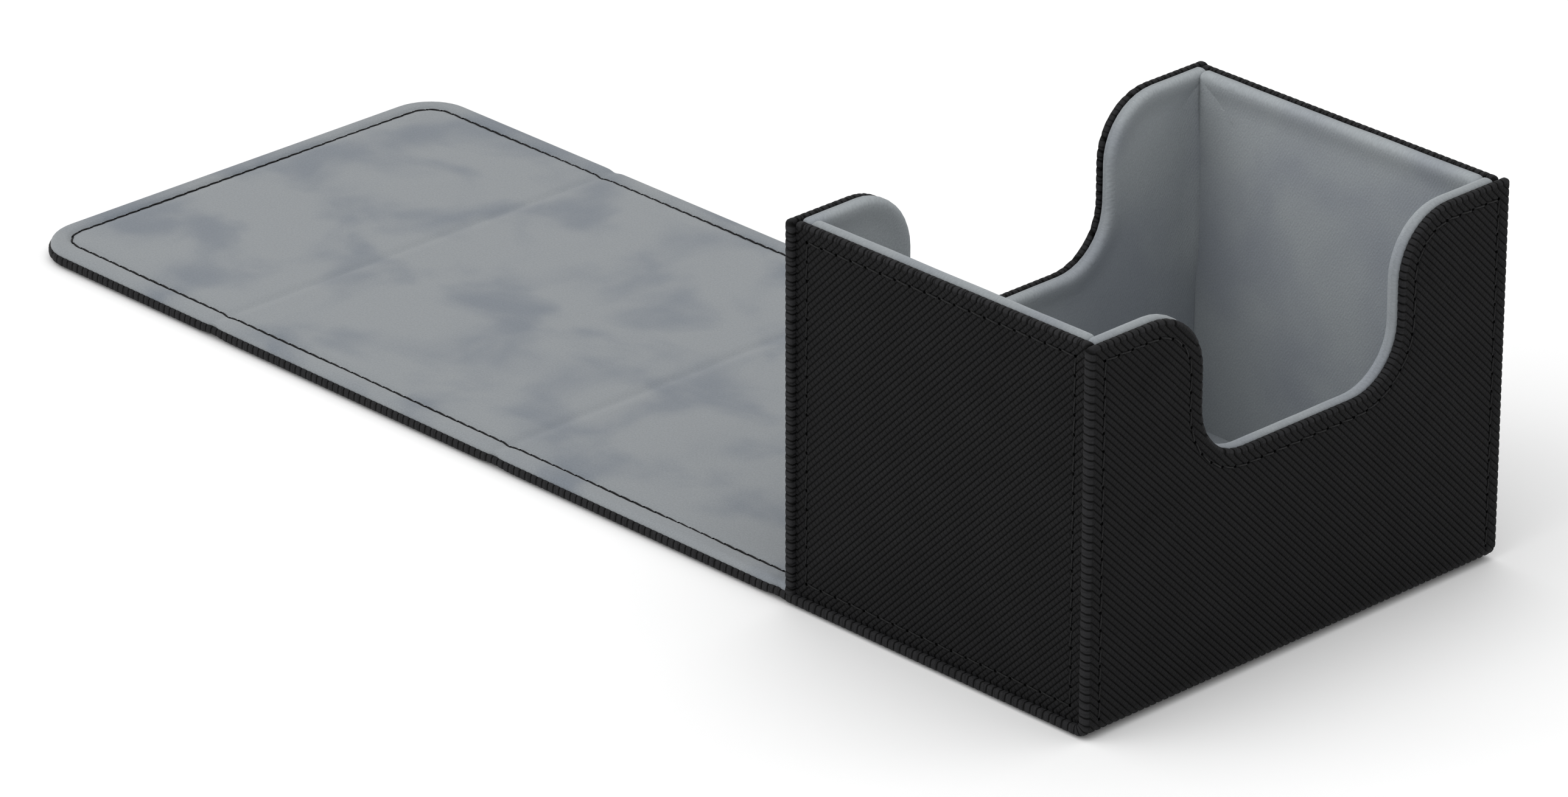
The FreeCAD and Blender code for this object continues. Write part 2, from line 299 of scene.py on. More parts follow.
def shell(name, cells, place, height, sections, material):
    """The cells as a mesh: heights added along the surface, edges turned, then put in place."""
    index = {}
    rows = []
    faces = []
    for cell in cells:
        face = []
        for p in cell:
            key = (round(p[0], 4), round(p[1], 4), round(p[6], 2))
            if key not in index:
                index[key] = len(rows)
                rows.append(p)
            if index[key] not in face:
                face.append(index[key])
        if len(face) > 2:
            faces.append(face)
    u, v, cu, cv, nu, nv, s, lip, cut_u, cut_v = np.array(rows).T
    h = height(u, v, s)
    out = np.zeros((3, len(rows)))
    for weight, table in zip((1 - lip, lip), sections):
        out += weight * np.array([np.interp(s, table[0], row) for row in table[1:]])
    length = np.hypot(nu, nv)
    outside = s > 0
    away = (out[0] + h * np.sin(out[2])) / np.where(length > 0, length, 1)
    flat_u = np.where(outside, cu + nu * away, u)
    flat_v = np.where(outside, cv + nv * away, v)
    deep = np.where(outside, out[1] + h * np.cos(out[2]), h)
    xyz = np.stack(place(flat_u, flat_v, deep), axis=1) * MM
    mesh = bpy.data.meshes.new(name)
    probe = [np.array([float(u.mean()), float(u.mean()) + 1e-3, float(u.mean())]),
             np.array([float(v.mean()), float(v.mean()), float(v.mean()) + 1e-3])]
    at = np.stack(place(probe[0], probe[1], np.zeros(3)), axis=1)
    up = np.stack(place(probe[0][:1], probe[1][:1], np.ones(1)), axis=1)[0] - at[0]
    if np.cross(at[1] - at[0], at[2] - at[0]) @ up < 0:
        faces = [f[::-1] for f in faces]
    mesh.from_pydata(xyz.tolist(), [], faces)
    corner = np.zeros(len(mesh.loops), int)
    mesh.loops.foreach_get("vertex_index", corner)
    for layer, a, b in (("cut_mm", cut_u, cut_v), ("rib_mm", u, v)):
        uv = mesh.uv_layers.new(name=layer)
        uv.data.foreach_set("uv", np.stack((a[corner], b[corner]), axis=1).ravel())
    bm = bmesh.new()
    bm.from_mesh(mesh)
    bmesh.ops.remove_doubles(bm, verts=bm.verts, dist=SAME_POINT)
    bm.to_mesh(mesh)
    bm.free()
    mesh.polygons.foreach_set("use_smooth", [True] * len(mesh.polygons))
    mesh.materials.append(material)
    piece = bpy.data.objects.new(name, mesh)
    bpy.context.scene.collection.objects.link(piece)
    print(f"{name}: {len(mesh.polygons)} faces")
    return piece


# %% [markdown]
# ## Where each pattern goes
# The strip is one long cutting: up the front wall, round the bottom edge, under the tray and
# out as the cover. Its pattern height v is the height up the front wall, and goes on below
# zero along the underside, so the ribs run on without a break. `on_strip` rolls it into place.

# %% Places for the patterns
ARC_LENGTH = math.pi / 2 * EDGE_R
BASE_SHIFT = FRONT_X - EDGE_R - (EDGE_R - ARC_LENGTH)  # x = v + BASE_SHIFT under the tray


def on_strip(u, v, h):
    turn = np.clip((EDGE_R - v) / EDGE_R, 0, math.pi / 2)
    x = FRONT_X - EDGE_R + (EDGE_R + h) * np.cos(turn)
    z = EDGE_R - (EDGE_R + h) * np.sin(turn)
    x = np.where(v < EDGE_R - ARC_LENGTH, v + BASE_SHIFT, x)
    z = np.where(v > EDGE_R, v, z)
    return x, u, z


def on_back_wall(u, v, h):
    return -FRONT_X - h, u, v


def on_left_wall(u, v, h):
    return u, -SIDE_Y - h, v


def on_right_wall(u, v, h):
    return u, SIDE_Y + h, v


def in_front_wall(u, v, h):
    return INSIDE_X - h, u, v


def in_back_wall(u, v, h):
    return -INSIDE_X + h, u, v


def in_left_wall(u, v, h):
    return u, INSIDE_Y + h, v


def in_right_wall(u, v, h):
    return u, -INSIDE_Y - h, v


def on_floor(u, v, h):
    return u, v, FLOOR_Z + h


def in_cover(u, v, h):
    return u, v, COVER_TOP_Z + h


print("strip pattern runs from v", TOP_Z, "to", round(TIP_X - BASE_SHIFT, 1))

# %% [markdown]
# ## Materials
# Colours are written as sRGB hex values, as a maker would pick them from a swatch, and one
# function turns them into the linear values that the shader works with. `add` is the only
# node helper: it makes a node, sets its values and joins its inputs.

# %% Material helpers


def linear(hex_colour):
    channels = [int(hex_colour[i : i + 2], 16) / 255 for i in (1, 3, 5)]
    bent = [c / 12.92 if c <= 0.04045 else ((c + 0.055) / 1.055) ** 2.4 for c in channels]
    return (*bent, 1.0)


def add(tree, kind, inputs=None, **settings):
    """A node of that kind. Inputs are values or other nodes' outputs, by name or number."""
    node = tree.nodes.new("ShaderNode" + kind)
    for key, value in settings.items():
        setattr(node, key, value)
    for key, value in (inputs or {}).items():
        if isinstance(value, bpy.types.NodeSocket):
            tree.links.new(value, node.inputs[key])
        else:
            node.inputs[key].default_value = value
    return node


def new_material(name, **shader_values):
    """A material with its tree, and the shader that its finish is set on."""
    material = bpy.data.materials.new(name)
    material.use_nodes = True
    tree = material.node_tree
    tree.nodes.clear()
    shader = add(tree, "BsdfPrincipled", {k.replace("_", " "): v for k, v in shader_values.items()})
    output = add(tree, "OutputMaterial")
    tree.links.new(shader.outputs[0], output.inputs[0])
    return material, tree, shader


# %% [markdown]
# ### Embossed polyurethane leather
# The outside is a woven cloth coated with polyurethane and pressed with fine diagonal ribs.
# The ribs themselves are modelled, so the material only adds what is finer: little cross
# marks that divide a rib like a rope and are darkened with painted shade, a dull grain on the
# coating, painted shade that blackens the grooves, and a painted highlight that pales the
# turned edges. It is dark but not shiny: roughness near 0.6.

# %% Leather
RIB_PITCH = 1.07
CROSS_PITCH = 1.05
GROOVE_HALF = 0.2


def embossed_leather(name, slope, mark_strength, top_hex, groove_shade_hex):
    """slope is +1 or -1: the grooves follow v = slope * u in the pattern."""
    material, tree, shader = new_material(name, Roughness=0.58, IOR=1.46)
    shader.inputs["Specular IOR Level"].default_value = 0.1
    cut = add(tree, "UVMap", uv_map="cut_mm")
    pressed = add(tree, "UVMap", uv_map="rib_mm")
    parts = add(tree, "SeparateXYZ", {0: pressed.outputs[0]})
    half = math.sqrt(0.5)
    slanted = add(tree, "Math", {0: parts.outputs[0], 1: slope * half}, operation="MULTIPLY")
    across, along = (add(tree, "Math", {0: parts.outputs[1], 1: way, 2: slanted.outputs[0]},
                         operation="MULTIPLY_ADD") for way in (-half, half))
    ribs = add(tree, "Math", {0: across.outputs[0], 1: 1 / RIB_PITCH}, operation="MULTIPLY")
    rib_number = add(tree, "Math", {0: ribs.outputs[0]}, operation="FLOOR")
    to_groove = add(tree, "Math", {0: ribs.outputs[0], 1: 0.5}, operation="PINGPONG")
    groove = add(tree, "MapRange", {"Value": to_groove.outputs[0], "From Min": 0.04,
                                    "From Max": GROOVE_HALF / RIB_PITCH, "To Min": 1.0,
                                    "To Max": 0.0}, interpolation_type="SMOOTHSTEP")
    stagger = add(tree, "Math", {0: rib_number.outputs[0], 1: 0.37}, operation="MULTIPLY")
    marks = add(tree, "Math", {0: along.outputs[0], 1: 1 / CROSS_PITCH, 2: stagger.outputs[0]},
                operation="MULTIPLY_ADD")
    to_mark = add(tree, "Math", {0: marks.outputs[0], 1: 0.5}, operation="PINGPONG")
    mark = add(tree, "MapRange", {"Value": to_mark.outputs[0], "From Min": 0.03, "From Max": 0.17,
                                  "To Min": 1.0, "To Max": 0.0}, interpolation_type="SMOOTHSTEP")
    grain = add(tree, "TexNoise", {"Vector": cut.outputs[0], "Scale": 1 / 0.22, "Detail": 3.0})
    patches = add(tree, "TexNoise", {"Vector": cut.outputs[0], "Scale": 1 / 9.0, "Detail": 2.0})
    # Painted shade: in each groove the colour is mixed towards near black.
    colour = add(tree, "Mix", {"Factor": groove.outputs[0], 6: linear(top_hex),
                               7: linear(groove_shade_hex)}, data_type="RGBA")
    worn = add(tree, "MapRange", {"Value": patches.outputs[0], "From Min": 0.3, "From Max": 0.7,
                                  "To Min": 0.88, "To Max": 1.14})
    grained = add(tree, "MapRange", {"Value": grain.outputs[0], "From Min": 0.3, "From Max": 0.7,
                                     "To Min": 0.8, "To Max": 1.22})
    uneven = add(tree, "Math", {0: worn.outputs[0], 1: grained.outputs[0]}, operation="MULTIPLY")
    # Painted shade darkens the colour along each cross mark.
    shade = add(tree, "Mix", {"Factor": mark.outputs[0], 2: 1.0, 3: 1.0 - 0.75 * mark_strength},
                data_type="FLOAT")
    marked = add(tree, "Math", {0: uneven.outputs[0], 1: shade.outputs[0]}, operation="MULTIPLY")
    # The two patterns part only over a turned edge, where a painted highlight makes the coating up
    # to 2.3 times paler.
    over_edge = add(tree, "VectorMath", {0: cut.outputs[0], 1: pressed.outputs[0]},
                    operation="DISTANCE")
    painted_edge_highlight = add(tree, "MapRange", {"Value": over_edge.outputs["Value"], "From Min": 0.1,
                                       "From Max": 0.45, "To Min": 1.0, "To Max": 2.3},
                    interpolation_type="SMOOTHSTEP")
    level = add(tree, "Math", {0: marked.outputs[0], 1: painted_edge_highlight.outputs[0]},
                operation="MULTIPLY")
    final = add(tree, "VectorMath", {0: colour.outputs[2], "Scale": level.outputs[0]},
                operation="SCALE")
    tree.links.new(final.outputs[0], shader.inputs["Base Color"])
    dull = add(tree, "MapRange", {"Value": grain.outputs[0], "To Min": 0.55, "To Max": 0.75})
    tree.links.new(dull.outputs[0], shader.inputs["Roughness"])
    relief = add(tree, "Math", {0: mark.outputs[0], 1: -mark_strength, 2: grain.outputs[0]},
                 operation="MULTIPLY_ADD")
    bump = add(tree, "Bump", {"Strength": 1.0, "Distance": 0.0001, "Height": relief.outputs[0]})
    tree.links.new(bump.outputs[0], shader.inputs["Normal"])
    print("leather:", name)
    return material


strip_leather = embossed_leather("embossed_pu_leather_strip", -1, 0.35, "#141415", "#000000")
near_leather = embossed_leather("embossed_pu_leather_rising", 1, 0.9, "#151516", "#010101")
far_leather = embossed_leather("embossed_pu_leather_falling", -1, 0.9, "#151516", "#010101")

# %% [markdown]
# ### Brushed microfibre
# The lining is a knitted microfibre, brushed so that its ends stand up like short suede. It
# scatters light softly and shows a pale rim of sheen where it turns away. Hands and cards push
# the nap about, which leaves cloudy bluish patches one to three centimetres wide. Over the
# tray's rims the colour is darkened with painted shade. Under it runs the fine knit, about two
# rows to a millimetre.

# %% Microfibre
KNIT_ROW = 0.55


def brushed_microfibre(name, pale_hex, dark_hex, sheen, rim_shade, patch_mm, patch_low, patch_high):
    """rim_shade is how much painted shade darkens the nap where it turns over a rim."""
    material, tree, shader = new_material(name, Roughness=0.92, IOR=1.5)
    shader.inputs["Specular IOR Level"].default_value = 0.15
    shader.inputs["Sheen Weight"].default_value = sheen
    shader.inputs["Sheen Roughness"].default_value = 0.5
    cut = add(tree, "UVMap", uv_map="cut_mm")
    clouds = add(tree, "TexNoise", {"Vector": cut.outputs[0], "Scale": 1 / patch_mm, "Detail": 3.0,
                                    "Roughness": 0.45, "Distortion": 0.3})
    cloud = add(tree, "MapRange", {"Value": clouds.outputs[0], "From Min": patch_low,
                                   "From Max": patch_high}, interpolation_type="SMOOTHSTEP")
    fibres = add(tree, "TexNoise", {"Vector": cut.outputs[0], "Scale": 1 / 0.35, "Detail": 4.0,
                                    "Roughness": 0.6})
    speck = add(tree, "MapRange", {"Value": fibres.outputs[0], "From Min": 0.3, "From Max": 0.7,
                                   "To Min": 0.9, "To Max": 1.1})
    colour = add(tree, "Mix", {"Factor": cloud.outputs[0], 6: linear(dark_hex),
                               7: linear(pale_hex)}, data_type="RGBA")
    turned_uv = add(tree, "UVMap", uv_map="rib_mm")
    over_rim = add(tree, "VectorMath", {0: cut.outputs[0], 1: turned_uv.outputs[0]},
                   operation="DISTANCE")
    # Painted shade: the colour is darkened where the lining turns over a rim.
    painted_rim_darkening = add(tree, "MapRange", {"Value": over_rim.outputs["Value"], "From Min": 0.1,
                                    "From Max": 1.0, "To Min": 1.0, "To Max": rim_shade},
                 interpolation_type="SMOOTHSTEP")
    level = add(tree, "Math", {0: speck.outputs[0], 1: painted_rim_darkening.outputs[0]}, operation="MULTIPLY")
    final = add(tree, "VectorMath", {0: colour.outputs[2], "Scale": level.outputs[0]},
                operation="SCALE")
    tree.links.new(final.outputs[0], shader.inputs["Base Color"])
    tilt = add(tree, "Mapping", {"Vector": cut.outputs[0], "Rotation": (0, 0, math.radians(32))})
    knit = add(tree, "TexWave", {"Vector": tilt.outputs[0], "Scale": 2 * math.pi / 20 / KNIT_ROW,
                                 "Distortion": 2.5, "Detail": 2.0, "Detail Scale": 2.0},
               wave_type="BANDS")
    nap = add(tree, "Math", {0: knit.outputs["Fac"], 1: 0.22, 2: fibres.outputs[0]},
              operation="MULTIPLY_ADD")
    bump = add(tree, "Bump", {"Strength": 0.7, "Distance": 0.0001, "Height": nap.outputs[0]})
    tree.links.new(bump.outputs[0], shader.inputs["Normal"])
    print("microfibre:", name)
    return material


# Two copies of one microfibre: the tray's is paler, painted light that lifts the shade deep inside
# the tray.
cover_lining = brushed_microfibre("brushed_microfibre_cover", "#83878a", "#70767d", 0.18,
                                  1.0, 20.0, 0.3, 0.58)
tray_lining_painted_light = brushed_microfibre("brushed_microfibre_tray", "#989da0", "#8c9197", 0.05,
                                 0.8, 26.0, 0.35, 0.6)

# %% [markdown]
# ### Thread, board and magnets
# The seams are bonded black polyester, slightly waxy, with a visible twist. The boards are
# grey recycled card and the magnets are nickel-plated discs. Board and magnets are out of
# sight inside the coverings, but they keep a proper finish of their own.

# %% Small materials


def bonded_thread():
    material, tree, shader = new_material("bonded_polyester_thread", Roughness=0.45, IOR=1.55)
    shader.inputs["Specular IOR Level"].default_value = 0.15
    cut = add(tree, "UVMap", uv_map="cut_mm")
    twist = add(tree, "Mapping", {"Vector": cut.outputs[0], "Rotation": (0, 0, math.radians(40))})
    plies = add(tree, "TexWave", {"Vector": twist.outputs[0], "Scale": 2 * math.pi / 20 / 0.3})
    tone = add(tree, "Mix", {"Factor": plies.outputs["Fac"], 6: linear("#020203"),
                             7: linear("#070708")}, data_type="RGBA")
    tree.links.new(tone.outputs[2], shader.inputs["Base Color"])
    bump = add(tree, "Bump", {"Strength": 0.5, "Distance": 0.00004, "Height": plies.outputs["Fac"]})
    tree.links.new(bump.outputs[0], shader.inputs["Normal"])
    return material


# A needle hole is drawn as a flat near-black disc: painted shade that stands in for the hole's
# depth.
def needle_hole():
    material, tree, shader = new_material("needle_hole_painted_shade", Roughness=1.0)
    shader.inputs["Specular IOR Level"].default_value = 0.0
    place = add(tree, "NewGeometry")
    hole_shade_noise = add(tree, "TexNoise", {"Vector": place.outputs["Position"], "Scale": 4000.0})
    tone = add(tree, "Mix", {"Factor": hole_shade_noise.outputs[0], 6: linear("#020202"),
                             7: linear("#080808")}, data_type="RGBA")
    tree.links.new(tone.outputs[2], shader.inputs["Base Color"])
    return material


def greyboard():
    material, tree, shader = new_material("recycled_greyboard", Roughness=0.9)
    place = add(tree, "TexCoord")
    pulp = add(tree, "TexNoise", {"Vector": place.outputs["Object"], "Scale": 900.0, "Detail": 5.0})
    tone = add(tree, "Mix", {"Factor": pulp.outputs[0], 6: linear("#6f6a62"),
                             7: linear("#a39d92")}, data_type="RGBA")
    tree.links.new(tone.outputs[2], shader.inputs["Base Color"])
    bump = add(tree, "Bump", {"Strength": 0.4, "Distance": 0.0001, "Height": pulp.outputs[0]})
    tree.links.new(bump.outputs[0], shader.inputs["Normal"])
    return material


def nickel_plate():
    material, tree, shader = new_material("nickel_plated_magnet", Metallic=1.0, Roughness=0.25)
    shader.inputs["Base Color"].default_value = linear("#c9c6bf")
    place = add(tree, "TexCoord")
    scuffs = add(tree, "TexNoise", {"Vector": place.outputs["Object"], "Scale": 2500.0})
    dull = add(tree, "MapRange", {"Value": scuffs.outputs[0], "To Min": 0.18, "To Max": 0.36})
    tree.links.new(dull.outputs[0], shader.inputs["Roughness"])
    return material


thread = bonded_thread()
hole = needle_hole()
board = greyboard()
nickel = nickel_plate()
for name, node in frame["nodes"].items():
    finish = board if name.endswith("_board") else nickel if name.endswith("_magnets") else None
    if finish:
        node.data.materials.clear()
        node.data.materials.append(finish)
print("boards and magnets finished")

# %% [markdown]
# ## The ribbed skin
# A real skin is pressed with ribs before it is cut. Each rib is about one millimetre wide with
# a broad crown and a narrow groove. `ribbed_height` gives that relief, presses it flatter in
# the seam, where the thread pulls the skin down, and lets the boards' edges and the folds
# show through. Modelling the relief, rather than faking it with bump, gives the edges of the
# case their fine beads and notches.

# %% Relief of the skin
RIB_DEPTH = 0.22
CROWN_RISE = 0.03
GROOVE_REACH = 0.27
SEAM_DEPTH = 0.17
SEAM_HALF = 0.34
EDGE_STRETCH = 0.7  # share of a groove's depth that is lost over a turned edge
GROOVE_LINES = (0.0, 0.11, 0.25, RIB_PITCH / 2, RIB_PITCH - 0.25, RIB_PITCH - 0.11)
SLANT = math.sqrt(0.5)


def ribbed_height(slope, seam_at, sewn=None, extra=None):
    """slope as for the leather; seam_at is the seam's place as a distance from the flat's edge."""

    def height(u, v, s):
        q = np.mod(SLANT * (slope * u - v), RIB_PITCH)
        d = np.minimum(q, RIB_PITCH - q)
        groove = np.clip(1 - d / GROOVE_REACH, 0, 1) ** 2
        crown = CROWN_RISE * (d / (RIB_PITCH / 2)) ** 2
        seam = np.exp(-(((s + seam_at) / SEAM_HALF) ** 2))
        if sewn is not None:
            seam = seam * sewn(u, v)
        stretch = 1 - EDGE_STRETCH * np.clip(s / ROUND, 0, 1)
        h = (crown - RIB_DEPTH * groove * stretch) * (1 - 0.6 * seam) - SEAM_DEPTH * seam
        if extra is not None:
            h = h + extra(u, v) * np.clip(1.2 - s / 1.2, 0, 1)
        return h

    return height


def rib_cuts(cells, slope):
    """The cells sliced along every groove, shoulder and crown."""
    q = [SLANT * (slope * p[0] - p[1]) for c in cells for p in c]
    first = math.floor(min(q) / RIB_PITCH)
    last = math.ceil(max(q) / RIB_PITCH)
    cuts = [round(k * RIB_PITCH + g, 6) for k in range(first, last + 1) for g in GROOVE_LINES]
    return sliced(cells, (SLANT * slope, -SLANT), cuts)


def skin_rings(seam):
    """Distances of the edge lines, from inside the seam to the end of the turned edge."""
    at = seam - ROUND
    inside = [-(at + x) for x in (0.75, 0.34, 0.17, 0.0, -0.17, -0.34, -0.75)]
    outside = [0.0, 0.25, 0.5, 0.75, 1.0, 1.25, 1.5, 1.8, 2.2, 2.7, 3.6]
    return inside + [r for r in outside if r > inside[-1] + 0.3]


def leather_piece(name, runs, place, slope, seam, material, closed=False, extra=None,
                  sewn=None, more_cuts=()):
    cells = []
    loop = []
    for run in runs:
        band, inner = bands(run, ROUND, skin_rings(seam), closed, squeeze=EDGE_SQUEEZE)
        cells += band
        loop += inner
    cells += middle(loop)
    for direction, cuts in more_cuts:
        cells = sliced(cells, direction, cuts)
    cells = rib_cuts(cells, slope)
    height = ribbed_height(slope, seam - ROUND, sewn, extra)
    return shell(name, cells, place, height, (STRIP_EDGE, LIP_EDGE), material)


def finish_piece(piece, slot, body, *nodes):
    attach(piece, body)
    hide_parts(*nodes)
    return piece


# %% [markdown]
# ### Front wall and base
# On the real case one strip covers the front wall and runs on under the base, with no seam at
# the bottom edge, so one pattern makes both. Four magnets sit just under the skin of the front
# wall, and each presses a faint disc into it.

# %% Front wall and base skin
CORNER_R = 0.7  # the strip's turned corners
MAGNET_DENT = 0.12
DENT_EDGE = 0.15
magnet_low, magnet_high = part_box("tray_magnets")
MAGNET_R = 4.0
MAGNET_SPOTS = [
    (y, z)
    for y in (magnet_high.y / MM - MAGNET_R, magnet_low.y / MM + MAGNET_R)
    for z in (magnet_high.z / MM - MAGNET_R, magnet_low.z / MM + MAGNET_R)
]


def magnet_dents(u, v):
    h = np.zeros_like(u)
    for y, z in MAGNET_SPOTS:
        far = np.hypot(u - y, v - z)
        h += MAGNET_DENT / (1 + np.exp((far - MAGNET_R) / DENT_EDGE))
    return h


def below_front_edge(u, v):
    return np.clip((v - 1.0) / 2.0, 0, 1)


def strip_v(x):
    return x - BASE_SHIFT


tray_end = strip_v(REAR + FOLD_HALF)
front_corners = wall_outline(HALF_WIDTH, tray_end, CORNER_R)
bend_cuts = [EDGE_R - ARC_LENGTH * k / 8 for k in range(8, -1, -1)]
cross = ((SLANT, -SLANT), even_cuts(-90, 90, 1.5))
front_skin = leather_piece(
    "front_wall_and_base_leather", [front_corners], on_strip, -1, WALL_SEAM, strip_leather,
    extra=magnet_dents, sewn=below_front_edge, more_cuts=[((0, 1), bend_cuts), cross])
finish_piece(front_skin, "skin", "tray", "front_wall_skin", "base_skin")

# %% [markdown]
# ### Back wall and side walls
# The back wall is like the front wall, but stands on the strip instead of growing out of it.
# The two side walls are separate panels, set in between the edges of the strip, which leaves
# the dark groove that runs round each of them. Their ribs are pressed the other way round.

# %% Other tray skins
back_corners = wall_outline(HALF_WIDTH, STRIP, CORNER_R)
back_skin = leather_piece("back_wall_leather", [back_corners], on_back_wall, 1, WALL_SEAM,
                          near_leather)
finish_piece(back_skin, "skin", "tray", "back_wall_skin")

side_corners = [
    (-SIDE_END_X, STRIP, CORNER_R, 0), (SIDE_END_X, STRIP, CORNER_R, 0),
    (SIDE_END_X, TOP_Z, CORNER_R, 1), (-SIDE_END_X, TOP_Z, CORNER_R, 0),
]
for side, place, slope, leather in (("left", on_left_wall, 1, near_leather),
                                    ("right", on_right_wall, -1, far_leather)):
    skin = leather_piece(f"{side}_wall_leather", [side_corners], place, slope, WALL_SEAM,
                         leather, closed=True)
    finish_piece(skin, "skin", "tray", f"{side}_wall_skin")

# %% [markdown]
# ### The cover's skin
# The cover is the same strip going on behind the tray. Each panel rides on its own body. The
# skin over a fold has no board behind it: it is pinched in a little, and it is a separate piece.

# %% Cover skins
PINCH = 0.5
PINCH_HALF = 2.3
FOLDS = {"rear": (REAR, "tray", "back_panel"), "top": (TOP_FOLD, "back_panel", "top_panel"),
         "front": (FRONT_FOLD, "top_panel", "closing_flap")}
PANELS = (("back_panel", REAR, TOP_FOLD), ("top_panel", TOP_FOLD, FRONT_FOLD))


def pinched(u, v):
    """The strip sinks between the boards at each fold."""
    h = np.zeros_like(u)
    for axis, _, _ in FOLDS.values():
        h -= PINCH * np.exp(-(((v - strip_v(axis)) / PINCH_HALF) ** 2))
    return h


def strip_edges(x_near, x_far):
    """The two long edges of a stretch of the strip."""
    near, far = strip_v(x_near), strip_v(x_far)
    return [[(HALF_WIDTH, far, 0, 0), (HALF_WIDTH, near, 0, 0)],
            [(-HALF_WIDTH, near, 0, 0), (-HALF_WIDTH, far, 0, 0)]]


def fold_cuts(axis):
    return ((0, 1), [strip_v(axis) + d for d in np.arange(-6.0, 6.01, 0.65)])


for name, near, far in PANELS:
    cuts = [((0, 1), sorted(fold_cuts(near)[1] + fold_cuts(far)[1]))]
    skin = leather_piece(f"{name}_leather", strip_edges(near - FOLD_HALF, far + FOLD_HALF),
                         on_strip, -1, COVER_SEAM, strip_leather, extra=pinched, more_cuts=cuts)
    finish_piece(skin, "skin", name, f"{name}_skin")

flap_near = strip_v(FRONT_FOLD - FOLD_HALF)
flap_tip = strip_v(TIP_X)
flap_corners = [(-HALF_WIDTH, flap_near, 0, 0), (-HALF_WIDTH, flap_tip, TIP_R, 0),
                (HALF_WIDTH, flap_tip, TIP_R, 0), (HALF_WIDTH, flap_near, 0, 0)]
flap_skin = leather_piece("closing_flap_leather", [flap_corners], on_strip, -1, COVER_SEAM,
                          strip_leather, extra=pinched, more_cuts=[fold_cuts(FRONT_FOLD)])
finish_piece(flap_skin, "skin", "closing_flap", "closing_flap_skin")


def bend(piece, axis, parent, child):
    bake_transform(piece)


for name, (axis, parent, child) in FOLDS.items():
    skin = leather_piece(f"{name}_fold_leather", strip_edges(axis + FOLD_HALF, axis - FOLD_HALF),
                         on_strip, -1, COVER_SEAM, strip_leather, extra=pinched,
                         more_cuts=[fold_cuts(axis)])
    bend(skin, axis, parent, child)
    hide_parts(f"{name}_fold_skin")

# %% [markdown]
# ## The padded linings of the tray
# Each wall is lined with microfibre over a thin foam. The lining comes up the inside, rolls
# over the top of the board as a fat soft rim and disappears behind the skin's lip. Cloth
# simulation would be one way to puff it, but the foam is only a millimetre and a half thick
# and glued down, so a soft section swept along the rim and a little unevenness in the height
# give the same shape with full control.

# %% Tray linings
RIM_INNER_R = 0.4
RIM_OUTER_R = 0.3
CROWN = 0.15  # how far the rim stands above the lip
FOAM_WAVE = 0.1
SWELL_REACH = 2.6


def rim_section(wall, swell):
    """Section, rings and setback of a rim that fills a wall's thickness up to the lip."""
    top = wall - LIP - swell - RIM_INNER_R - RIM_OUTER_R
    section = turned(quarter(RIM_INNER_R), (top, 0), quarter(RIM_OUTER_R), (1.2, 0))
    inner, outer = quarter(RIM_INNER_R)[0], quarter(RIM_OUTER_R)[0]
    rings = [-7.0, -5.0, -3.8, -2.8, -2.0, -1.3, -0.6]
    rings += [inner * k / 4 for k in range(5)] + [inner + top / 2]
    rings += [inner + top + outer * k / 4 for k in range(5)] + [inner + top + outer + 1.1]
    return section, rings, RIM_INNER_R + swell - CROWN


def soft_height(seed, wave, swell=0.0, fade=(0.0, 1.0)):
    """Gentle unevenness of foam under cloth, and a rim that swells above the height fade."""

    def height(u, v, s):
        spots = [noise.noise(Vector((a / 17.0, b / 17.0, seed)))
                 + 0.4 * noise.noise(Vector((a / 5.0, b / 5.0, seed))) for a, b in zip(u, v)]
        rise = np.clip((v - fade[0]) / (fade[1] - fade[0]), 0, 1)
        plump = np.exp(-((np.minimum(s, 0) / SWELL_REACH) ** 2))
        return wave * np.array(spots) + swell * rise * plump

    return height


LINING_STEP = 2.6


def lining_piece(name, cells, place, material, section, height):
    low_u, low_v = (min(p[k] for c in cells for p in c) for k in (0, 1))
    high_u, high_v = (max(p[k] for c in cells for p in c) for k in (0, 1))
    cells = sliced(cells, (1, 0), even_cuts(low_u, high_u, LINING_STEP))
    cells = sliced(cells, (0, 1), even_cuts(low_v, high_v, LINING_STEP))
    return shell(name, cells, place, height, (section, section), material)


def line_wall(side, corners, wall, swell, fade, place, seed):
    """The lining of one tray wall: wall is its thickness, swell how far its rim bulges."""
    section, rings, setback = rim_section(wall, swell)
    cells, inner = bands(corners, setback, rings, squeeze=EDGE_SQUEEZE)
    lining = lining_piece(f"{side}_wall_microfibre", cells + middle(inner), place, tray_lining_painted_light,
                          section, soft_height(seed, FOAM_WAVE, swell, fade))
    finish_piece(lining, "lining", "tray", f"{side}_wall_lining")


FRONT_SWELL = 0.75
FRONT_FADE = (30.0, 40.0)  # the swell grows between these heights
END_Y = SIDE_Y - LIP - 0.3
WALL_FOOT = FLOOR_Z - 0.8  # the wall linings end under the floor's
rim_corners = wall_outline(END_Y, WALL_FOOT, 1.0, 0)
for side, place, seed in (("front", in_front_wall, 1.5), ("back", in_back_wall, 2.5)):
    line_wall(side, rim_corners, FRONT_X - INSIDE_X, FRONT_SWELL, FRONT_FADE, place, seed)

